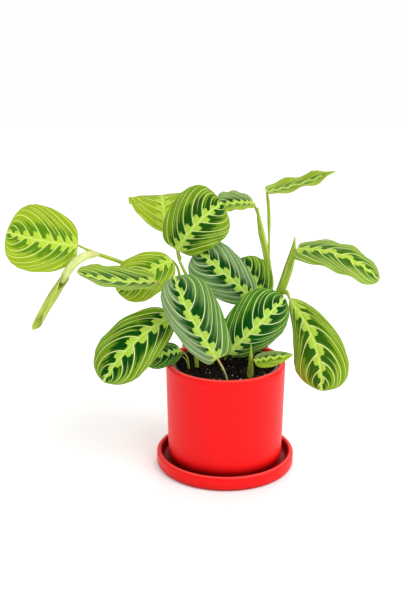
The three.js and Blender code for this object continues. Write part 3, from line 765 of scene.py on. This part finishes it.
def vein_count(leaf, s, t):
    across = np.abs(t)
    out = across * half_width(leaf, s) / (leaf["width"] / 2)
    slope = leaf["width"] / 2 / np.linalg.norm(leaf["run"])
    swept = slope * out * (0.54 + 0.25 * s) + (0.6 - 0.5 * slope) * across ** 3
    start = along_midrib(leaf, s, across) - swept
    start = np.where(start < 0, 0.5 * start, start)
    start = start + VEIN_WOBBLE * np.sin(2 * math.pi * start)
    return leaf["veins"] * start + FIRST_VEIN + np.where(t > 0, RIGHT_HALF_LATER, 0.0), out


# %% [markdown]
# ## Relief of the blade
# The real leaf is quilted: it bulges between its side veins and sinks along them and along the
# midrib, and its margin is nicked where a vein ends. So the sheet gets many more rows than the
# solid, and that relief as true shape. Simulating cloth would give softer, less regular folds,
# and a leaf is stiffer than that. The rolled leaf curls into a tube that closes towards its ends.

# %% A point of the blade
ROLLED_SHARE = 0.45
NICK_DEPTH, CHANNEL_DEPTH, CHANNEL_WIDTH = 0.35, 0.6, 1.3
LEFT_LATER = 2.0


def blade_point(leaf, s, t):
    across = np.abs(t)
    u = along_midrib(leaf, s, across)
    along = unit(midrib(leaf, u + 0.01) - midrib(leaf, u - 0.01))
    up = unit(leaf["up"] - along * (along @ leaf["up"])[..., None])
    right = np.cross(along, up)
    half = half_width(leaf, s) * (1 + np.sign(t) * leaf["skew"])
    furl = np.minimum(1, half / (ROLLED_SHARE * leaf["width"])) if leaf["rolled"] else 1
    curl = np.radians(np.where(t < 0, leaf["cup"][0], leaf["cup"][1]).astype(float)) * furl
    curl = np.where(np.abs(curl) < 1e-6, 1e-6, curl)
    count, _ = vein_count(leaf, s, t)
    ridge = np.sin(math.pi * count) ** 2
    inner = np.sin(math.pi * s) ** 0.5
    nick = NICK_DEPTH * (1 - ridge) * across ** 8 * inner
    reach = half * np.sin(curl * across) / curl - nick
    ripple = np.sin(2 * math.pi * leaf["waves"] * u + leaf["phase"] + np.where(t < 0, LEFT_LATER, 0.0))
    lift = half * (1 - np.cos(curl * across)) / curl
    lift = lift + leaf["wave"] * across ** 2.5 * np.sin(math.pi * s) * ripple
    quilt = leaf["quilt"] * (ridge - 0.5) * (1 - 0.55 * across ** 6) * np.minimum(1, across / 0.25) * inner
    channel = -CHANNEL_DEPTH * np.exp(-(across * half / CHANNEL_WIDTH) ** 2) * inner
    lift = lift + quilt + channel
    return midrib(leaf, u) + right * (np.sign(t) * reach)[..., None] + up * lift[..., None]


# %% [markdown]
# ## From points to a blade
# A real blade is about half a millimetre thick and thins out to a fine edge. Two grids of the
# same points, one above and one below the sheet, joined by a narrow wall at the margin, give
# that. A solidify modifier would do it too, but would leave the edge blunt. Every blade has the
# same grid, so the list of faces is made once. The pattern's coordinates are laid on with it.

# %% Faces and maps that every blade shares
BLADE_THICKNESS = 0.5
BLADE_ROWS, BLADE_COLUMNS = 110, 52


def blade_faces():
    wide = BLADE_COLUMNS + 1
    flat = (BLADE_ROWS + 1) * wide
    i, j = np.meshgrid(np.arange(BLADE_ROWS), np.arange(BLADE_COLUMNS), indexing="ij")
    a = (i * wide + j).ravel()
    top = np.stack([a, a + 1, a + wide + 1, a + wide], 1)
    under = np.stack([a, a + wide, a + wide + 1, a + 1], 1) + flat
    walls = []
    for k in range(BLADE_ROWS):
        left, right = k * wide, k * wide + BLADE_COLUMNS
        walls.append((left, left + wide, left + wide + flat, left + flat))
        walls.append((right, right + flat, right + wide + flat, right + wide))
    for k in range(BLADE_COLUMNS):
        foot, end = k, BLADE_ROWS * wide + k
        walls.append((foot, foot + flat, foot + 1 + flat, foot + 1))
        walls.append((end, end + 1, end + 1 + flat, end + flat))
    return top.tolist() + under.tolist() + walls, [0] * len(top) + [1] * len(under) + [0] * len(walls)


def lay_map(piece, title, values):
    loops = np.zeros(len(piece.data.loops), np.int32)
    piece.data.loops.foreach_get("vertex_index", loops)
    layer = piece.data.uv_layers.new(name=title)
    layer.data.foreach_set("uv", np.array(values, np.float32)[loops].ravel())


# %% Build one blade
FACES, FACE_SKINS = blade_faces()
EVEN_SHARE, END_GAP = 0.35, 0.0006


def make_blade(name, leaf):
    start, tip, face = (np.array(leaf[key], float) for key in ("foot", "tip", "face"))
    run = tip - start
    ahead = unit(run)
    up = unit(face - ahead * (face @ ahead))
    leaf = {**USUAL_LEAF, **leaf, "start": start, "run": run, "up": up, "right": np.cross(ahead, up)}
    even = np.linspace(0, 1, BLADE_ROWS + 1)
    rows = EVEN_SHARE * even + (1 - EVEN_SHARE) * (1 - np.cos(math.pi * even)) / 2
    rows[0], rows[-1] = END_GAP, 1 - END_GAP
    s, t = np.meshgrid(rows, np.linspace(-1, 1, BLADE_COLUMNS + 1), indexing="ij")
    t = np.where(np.abs(t) < 1e-9, 1e-6, t)
    middle = blade_point(leaf, s, t)
    normal = unit(np.cross(np.gradient(middle, axis=1), np.gradient(middle, axis=0)))
    normal[0], normal[-1] = normal[2], normal[-3]
    # The outer 4 percent of each half thins out to a third
    thin = np.minimum(1, (1.02 - np.abs(t)) / 0.06) * BLADE_THICKNESS / 2
    sheets = [(middle + way * normal * thin[..., None]).reshape(-1, 3) for way in (1, -1)]
    piece = make_piece(name + "_blade", np.concatenate(sheets), FACES, leaf["skin"])
    piece.data.polygons.foreach_set("material_index", FACE_SKINS)
    count, out = vein_count(leaf, s, t)
    # 0 on the left half and 1 on the right, with a quick change at the midrib
    right_share = (1 + np.tanh(t * 12)) / 2
    # The second pair is each half's painted grey sheen
    age, painted_sheen = (left + (right - left) * right_share
                  for left, right in (np.broadcast_to(leaf["age"], 2), leaf["painted_sheen"]))
    for title, pair in (("veins", (count, (np.sign(t) * out + 1) / 2)), ("margin", (s, (t + 1) / 2)),
                        ("dress", (age, painted_sheen))):
        pattern = np.stack(pair, -1).reshape(-1, 2)
        lay_map(piece, title, np.concatenate([pattern, pattern]))
    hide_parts(name)


# %% [markdown]
# ## Every leaf
# Lengths are in millimetres and curls in degrees. An age of 1 is a full-grown dark leaf, 0 a
# young lime one, and below 0 the newest. A pair of ages or painted grey sheens is for the left and
# the right half, because one half often catches the light where the other doesn't. The two leaves
# at the back fill the side that the picture doesn't show.

# %% The leaves, with their sizes
leaves = {
    "leaf_far_left": dict(
        foot=(-143, -8, 231), tip=(-206, -30, 249), face=(-0.1, -1, 0.3), width=64, arch=3, bend=-2,
        cup=(10, 10), wave=1.4, phase=0.5, ends=(0.48, 0.56), lobe=0.05, skew=0.03, veins=7.5, age=0.1,
        skin=lime),
    "leaf_hanging_rolled": dict(
        foot=(-152, -23, 208), tip=(-187, -28, 151), face=(0.4, -1, 0), width=29, arch=1, bend=2,
        cup=(196, 166), wave=0, ends=(0.65, 1.4), lobe=0, quilt=0.3, rolled=True, age=0.1, skin=furled),
    "leaf_left_shelf": dict(
        foot=(-68, -24, 200), tip=(-138, -58, 217), face=(0.05, -0.34, 1), width=40, arch=-4,
        cup=(8, 12), wave=1, phase=1, ends=(0.42, 0.78), lobe=0.1, skew=0.15, age=0.38,
        painted_sheen=(0.15, 0.05)),
    "leaf_left_lime": dict(
        foot=(-53, 12, 211), tip=(-106, -10, 185), face=(-0.1, -1, 0.6), width=48, arch=7,
        cup=(-20, -20), wave=1.4, phase=2, age=0.12, skin=lime),
    "leaf_top_left": dict(
        foot=(-60, 44, 232), tip=(-66, 97.6, 260), face=(0, -0.8, 0.7), width=70, arch=13, cup=(4, 4),
        wave=2, waves=4, ends=(0.55, 0.5), lobe=0, quilt=0.4, age=-0.25, skin=lime),
    "leaf_top_center": dict(
        foot=(-48, 12, 221), tip=(-4, 16, 267.5), face=(0, -1, 0.2), width=62, arch=6, bend=-4,
        cup=(-14, -14), wave=1.3, phase=1, ends=(0.45, 0.47), lobe=0.09, skew=-0.05, veins=7, age=0.55),
    "leaf_top_small": dict(
        foot=(29, 56, 259.5), tip=(-9, 42, 259), face=(0, -0.5, 0.9), width=32, arch=3, cup=(20, 20),
        wave=1, age=(0.1, 0.55), painted_sheen=(0, 0.6)),
    "leaf_top_right": dict(
        foot=(42, 56, 271), tip=(112, 64, 291), face=(-0.1, -0.05, 1), width=38, arch=-2, cup=(26, 0),
        wave=2, waves=2.4, phase=1, ends=(0.5, 1.2), lobe=0.1, age=0.08, skin=lime),
    "leaf_right_arch": dict(
        foot=(70, 16, 221), tip=(149, -6, 196), face=(0.3, -0.5, 1), width=48, arch=12, cup=(-12, -16),
        wave=1.5, phase=1, ends=(0.42, 0.6), lobe=0.12, age=0.34, painted_sheen=(0.2, 0.2)),
    "leaf_right_low": dict(
        foot=(62.5, -2, 175.5), tip=(94, -26, 88), face=(-0.2, -1, 0.25), width=56, arch=8, bend=-10,
        cup=(-14, -38), wave=1.5, ends=(0.85, 0.62), age=0.45),
    "leaf_center": dict(
        foot=(26, 8, 174), tip=(-28.5, 19, 220), face=(0, -1, 0.4), width=50, arch=4, cup=(-8, -10),
        wave=1.4, ends=(0.46, 0.48), skew=-0.08, age=0.95, painted_sheen=(0.6, 0.75)),
    "leaf_center_back": dict(
        foot=(38.5, 22.5, 169), tip=(13, 40.5, 204.5), face=(0.2, -1, 0.4), width=46, arch=4,
        cup=(-12, -16), wave=1.4, phase=2, veins=5, age=0.62),
    "leaf_front_right": dict(
        foot=(1, -22, 126), tip=(57, -10, 179), face=(0.1, -1, 0.25), width=58, arch=8, cup=(-10, -50),
        wave=1.4, phase=1, skew=-0.04, veins=7, age=0.95, painted_sheen=(0, 0.05)),
    "leaf_front": dict(
        foot=(-9, -46, 129), tip=(-50, -42, 209), face=(-0.1, -1, 0.1), width=52, arch=7, bend=-2,
        cup=(-14, -12), wave=1.2, phase=1.5, ends=(0.52, 0.58), lobe=0.14, skew=0.12, age=0.9,
        painted_sheen=(0.85, 0.3)),
    "leaf_left_low": dict(
        foot=(-53, -22, 164), tip=(-118, -50, 107), face=(-0.3, -1, 0.5), width=57, arch=9, bend=4,
        cup=(-60, -12), wave=1.4, phase=0.4, age=0.6),
    "leaf_back_left": dict(
        foot=(-8, 58, 138), tip=(-28, 86, 68), face=(-0.4, 1, 0.5), width=50, arch=9, cup=(-14, -20),
        wave=1.4, phase=1, age=0.8, painted_sheen=(0.2, 0.4)),
    "leaf_back_right": dict(
        foot=(24, 62, 139), tip=(26, 88, 70), face=(0.3, 1, 0.4), width=46, arch=9, cup=(-18, -12),
        wave=1.4, age=0.55),
    "leaf_rim_small": dict(
        foot=(-45, -4, 122.5), tip=(-81, -24, 119), face=(-0.1, -1, 0.7), width=27, arch=3,
        cup=(-10, -10), wave=0.8, waves=2, age=1),
    "leaf_rim_pointed": dict(
        foot=(27, -34, 123), tip=(64, -42, 132), face=(0.1, -1, 0.5), width=16, arch=2, cup=(-20, -20),
        wave=0.6, waves=2, ends=(0.45, 1.4), skew=0.15, veins=6, age=(0.5, 0.1), painted_sheen=(0.5, 0)),
}
for name, leaf in leaves.items():
    make_blade(name, leaf)
print("leaves", len(leaves))

# %% [markdown]
# ## Stalks
# A prayer plant's leaf stands on a slim stalk that grows out of a folded sheath. Just below the
# blade the stalk ends in a short swollen joint, greenish tan, that lifts the leaf at night. The
# skin is smooth and faintly ribbed along its length, with an IOR near 1.45 and a soft sheen. Its
# streaks are drawn from a map that runs along and around the stalk, so that they bend with it,
# and its foot is blushed.

# %% The stalk materials
def stalk_material(name, low, high, stripe, blush):
    material, put = new_material(name)
    along, around = put("SeparateXYZ", Vector=put("UVMap", uv_map="stalk")).node.outputs[:2]
    mottle = put("TexNoise", Vector=put("TexCoord", "Object"), Scale=1 / (6 * MM), Detail=3)
    grain_at = put("CombineXYZ", X=put("Math", **TIMES, i0=around, i1=9),
                   Y=put("Math", **TIMES, i0=along, i1=4))
    grain = put("TexNoise", Vector=grain_at, Scale=1, Detail=2)
    streak = put("MapRange", Value=grain, From_Min=0.5, From_Max=0.65, To_Min=0, To_Max=0.7)
    foot = put("MapRange", Value=along, From_Min=0.35, From_Max=0.2, To_Min=0, To_Max=0.5)
    seam = put("MapRange", Value=around, From_Min=0.94, From_Max=0.99, To_Min=0, To_Max=0.8)
    paint = put("Mix", **PAINT, i0=mottle, i6=linear(low), i7=linear(high))
    for share, tint in ((streak, stripe), (foot, blush), (seam, stripe)):
        paint = put("Mix", **PAINT, i0=share, i6=paint, i7=linear(tint))
    bump = put("Bump", Strength=0.4, Distance=0.0002, Height=grain)
    put("OutputMaterial", Surface=put("BsdfPrincipled", Base_Color=paint, Roughness=0.5, IOR=1.45,
                                      Specular_IOR_Level=0.35, Normal=bump))
    return material


finishes = {
    "green": stalk_material("fresh leaf stalk", "#88a81c", "#a9c434", "#d3e27c", "#8ea42c"),
    "pale": stalk_material("papery young sheath", "#cbdc70", "#e2ec9c", "#f2f6c8", "#cdb06e"),
    "tan": stalk_material("thin older stalk", "#b2b262", "#cfc98a", "#e4ddb0", "#b89a68"),
}
joint_tan = stalk_material("swollen stalk joint", "#b59a4e", "#aaa84a", "#cdb46c", "#b8965a")

# %% [markdown]
# ## The path of a stalk
# A stalk bends smoothly between the same points as its solid. A curve object could follow them
# too, but would need handles. This curve goes through every point, and because its pace follows
# the square root of each stretch, it doesn't swing out beside a short one.

# %% The smooth path through a stalk's points
STEPS_PER_MM = 0.9


def smooth_path(points):
    p = np.array(points, float)
    p = np.vstack([2 * p[0] - p[1], p, 2 * p[-1] - p[-2]])
    path = []
    for k in range(1, len(p) - 2):
        p0, p1, p2, p3 = p[k - 1:k + 3]
        d0, d1, d2 = (max(np.linalg.norm(b - a) ** 0.5, 1e-4) for a, b in ((p0, p1), (p1, p2), (p2, p3)))
        m1 = ((p1 - p0) / d0 - (p2 - p0) / (d0 + d1) + (p2 - p1) / d1) * d1
        m2 = ((p2 - p1) / d1 - (p3 - p1) / (d1 + d2) + (p3 - p2) / d2) * d1
        steps = max(3, int(np.linalg.norm(p2 - p1) * STEPS_PER_MM))
        # The usual cubic weights of two points and the slopes at them
        for w in np.linspace(0, 1, steps, endpoint=False):
            path.append((2 * w**3 - 3 * w**2 + 1) * p1 + (w**3 - 2 * w**2 + w) * m1
                        + (3 * w**2 - 2 * w**3) * p2 + (w**3 - w**2) * m2)
    path.append(p[-2])
    return np.array(path)


# %% [markdown]
# ## Tubes, plain or with a seam
# A sheath is a leaf base rolled round the stalk, so its section is a spiral whose outer edge
# shows as a seam. Curve objects with a bevel would look alike on plain stalks. Tubes made in
# code can swell, taper and carry the seam, and they are closed at both ends by a low cap.

# %% Tubes
TUBE_SIDES, CAP_RISE, SEAM_MIDDLE = 24, 0.3, 0.6


def tube(path, radii, seam=0.0):
    lengths = np.concatenate([[0], np.cumsum(np.linalg.norm(np.diff(path, axis=0), axis=1))])
    share = lengths / lengths[-1]
    radius = np.interp(share, np.linspace(0, 1, len(radii)), radii)
    ahead = unit(np.gradient(path, axis=0))
    aside = unit(np.cross(ahead[0], [0.2, 1.0, 0.1]))
    corners, maps, faces = [], [], []
    for k, centre in enumerate(path):
        aside = unit(aside - ahead[k] * (aside @ ahead[k]))
        other = np.cross(ahead[k], aside)
        for c in range(TUBE_SIDES):
            a = 2 * math.pi * c / TUBE_SIDES
            around = c / (TUBE_SIDES - 1)
            r = radius[k] * (1 + seam * (around - SEAM_MIDDLE))
            corners.append(centre + r * (math.cos(a) * aside + math.sin(a) * other))
            maps.append((share[k], around))
    sides = [(c, (c + 1) % TUBE_SIDES) for c in range(TUBE_SIDES)]
    for k in range(len(path) - 1):
        a, b = k * TUBE_SIDES, (k + 1) * TUBE_SIDES
        faces += [(a + c, a + n, b + n, b + c) for c, n in sides]
    for k, way in ((0, -1), (len(path) - 1, 1)):
        corners.append(path[k] + way * ahead[k] * radius[k] * CAP_RISE)
        maps.append((share[k], 0.5))
        a = k * TUBE_SIDES
        faces += [(len(corners) - 1, *(a + c, a + n)[::way]) for c, n in sides]
    return corners, faces, maps


def make_tubes(name, tubes, material, nodes=()):
    corners, faces, maps = [], [], []
    for more_corners, more_faces, more_maps in tubes:
        faces += [tuple(v + len(corners) for v in f) for f in more_faces]
        corners += more_corners
        maps += more_maps
    piece = make_piece(name, corners, faces, [material])
    lay_map(piece, "stalk", maps)
    if nodes:
        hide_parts(*nodes)


# %% [markdown]
# ## Every stalk
# Each row says which solid the stalk belongs to, its finish, how deep its seam is, its points
# from the soil up, and its radii, spread evenly from foot to top. A leaf's name stands for the
# foot of that leaf, so blade and stalk always meet. The sheath of the rolled leaf and the dried
# stub have no solid of their own name.

# %% Every stalk: its node, finish, seam depth, points and radii
stalks = [
    ("stem_far_left", "green", 0, [(-29, 6, 78), (-29, 6, 104), (-34, 18, 135), (-58, 28, 177),
     (-102, 22, 205), (-127.5, 2, 220.5), "leaf_far_left"], [2.3, 2.2, 2.1, 2.1, 2.1, 2.1, 2.1, 2, 0.9]),
    ("sheath_left", "pale", 0.35, [(-124, 5, 218.5), (-135, -9, 220.5), (-144, -19, 217),
     "leaf_hanging_rolled", (-157, -24, 198)], [1.7, 4.4, 4.6, 4.3, 3.9]),
    ("stem_left", "green", 0, [(-14, 33, 78), (-14, 33, 104), (-26, 10, 145), (-46, -12, 178),
     "leaf_left_shelf"], [2.2, 1.8, 1]),
    ("stem_left", "green", 0, [(-28, 8, 148), (-43, 14, 180), (-48, 23, 200), "leaf_left_lime"],
     [1.7, 1.5, 1]),
    ("stem_center", "green", 0, [(-5, 37, 78), (-5, 37, 104), (-16, 26, 145), (-41.5, 14, 200),
     (-47, 15, 213), "leaf_top_center"], [2.6, 2.6, 2.2, 1.1]),
    ("stem_center", "green", 0, [(-45, 15, 211), (-50, 26, 222), "leaf_top_left"], [1.5, 1.4, 1.1]),
    ("stem_top_right", "green", 0.25, [(19, 39, 78), (19, 39, 104), (30, 40, 140), (46, 40, 173),
     (44, 44, 196), (41, 48, 213), (36.5, 52, 232), (32.5, 54, 255)],
     [2.4, 2.6, 2.9, 3.3, 3.4, 3.4, 3.4, 1.1]),
    ("stem_top_right", "green", 0, [(34, 54, 246), (32, 57, 251), "leaf_top_small"], [1.2, 1.1, 0.9]),
    ("stem_top_right", "green", 0, [(44.6, 45, 192), (45, 55, 232), (44, 56.5, 256), "leaf_top_right"],
     [1.6, 1.3, 1.2, 1.2, 1.2, 1.75, 1.75, 1.75, 1.7, 1]),
    ("stem_right", "green", 0.3, [(27, 28, 78), (27, 28, 104), (38, 20, 140), (55, 14, 179),
     (66, 20, 214), (68.5, 22, 232)], [2.4, 2.5, 2.7, 3, 3.4, 3.8, 4.2, 4.5, 4.6, 3.2, 0.5]),
    ("stem_right", "green", 0, [(65, 19, 212), (68, 18, 218), "leaf_right_arch"], [1.6, 1.3, 1]),
    ("stem_right", "green", 0, [(54, 14, 177), (58.5, 9, 179.5), (61, 3, 179), "leaf_right_low"],
     [2.6, 2.4, 1.1]),
    ("stem_front", "tan", 0, [(0.5, -34, 78), (0.5, -34, 102), (-3.5, -41, 117), "leaf_front"],
     [1.2, 1.1, 0.9]),
    ("shoot_front", "green", 0.2, [(24, -20, 78), (24, -20, 104), (24, -27, 121), (23.5, -31, 138)],
     [3.2, 3.1, 0.5]),
    ("shoot_front", "green", 0, [(24.5, -27, 119), (26, -31, 122), "leaf_rim_pointed"], [1.5, 1.1, 0.8]),
    ("stem_rim_small", "green", 0, [(-37, 0, 78), (-37, 0, 104), (-39, -1, 115), "leaf_rim_small"],
     [1.1, 1, 0.7]),
    ("stem_left_low", "green", 0, [(-22, 25, 78), (-22, 25, 104), (-32, 0, 140), (-45, -16, 160),
     "leaf_left_low"], [1.9, 1.6, 1]),
    ("stem_middle", "green", 0, [(9, 36, 78), (9, 36, 104), (13, 20, 145), (27, 14, 163), "leaf_center"],
     [2, 1.6, 0.8]),
    ("stem_middle", "green", 0, [(12, 26, 128), (38, 30, 155), "leaf_center_back"], [1.5, 1.3, 0.8]),
    ("stem_back", "green", 0, [(2, 43, 78), (2, 43, 104), (0, 44, 121), (-6, 51, 133), "leaf_back_left"],
     [2, 1.7, 0.9]),
    ("stem_back", "green", 0, [(1.8, 42.6, 111), (9, 45, 124), (20, 53.5, 135), "leaf_back_right"],
     [1.6, 1.4, 0.9]),
    ("stem_front_right", "green", 0, [(0, 27, 78), (0, 27, 105), (-2, -4, 118), "leaf_front_right"],
     [1.6, 1.4, 1]),
    ("dead_stalk", "tan", 0, [(-37.5, 6, 99), (-38.6, 6, 105), (-40.5, 6, 109.5), (-43.6, 6, 112.4)],
     [0.9, 0.6, 0.35]),
]
SCENE_ONLY = ("sheath_left", "dead_stalk")
JOINT_LENGTH, JOINT_SWELL = 7, (1.02, 1.22, 1.22, 1.05)

tubes_of, finish_of, joints = {}, {}, []
for node, finish, seam, route, radii in stalks:
    path = smooth_path([leaves[p]["foot"] if isinstance(p, str) else p for p in route])
    tubes_of.setdefault(node, []).append(tube(path, radii, seam))
    finish_of[node] = finish
    if isinstance(route[-1], str):
        last = path[np.linalg.norm(path - path[-1], axis=1) < JOINT_LENGTH]
        if len(last) > 3:
            joints.append(tube(last, [radii[-1] * k for k in JOINT_SWELL]))
for node, tubes in tubes_of.items():
    make_tubes(node + "_stalk", tubes, finishes[finish_of[node]], () if node in SCENE_ONLY else [node])
make_tubes("stalk_joints", joints, joint_tan)
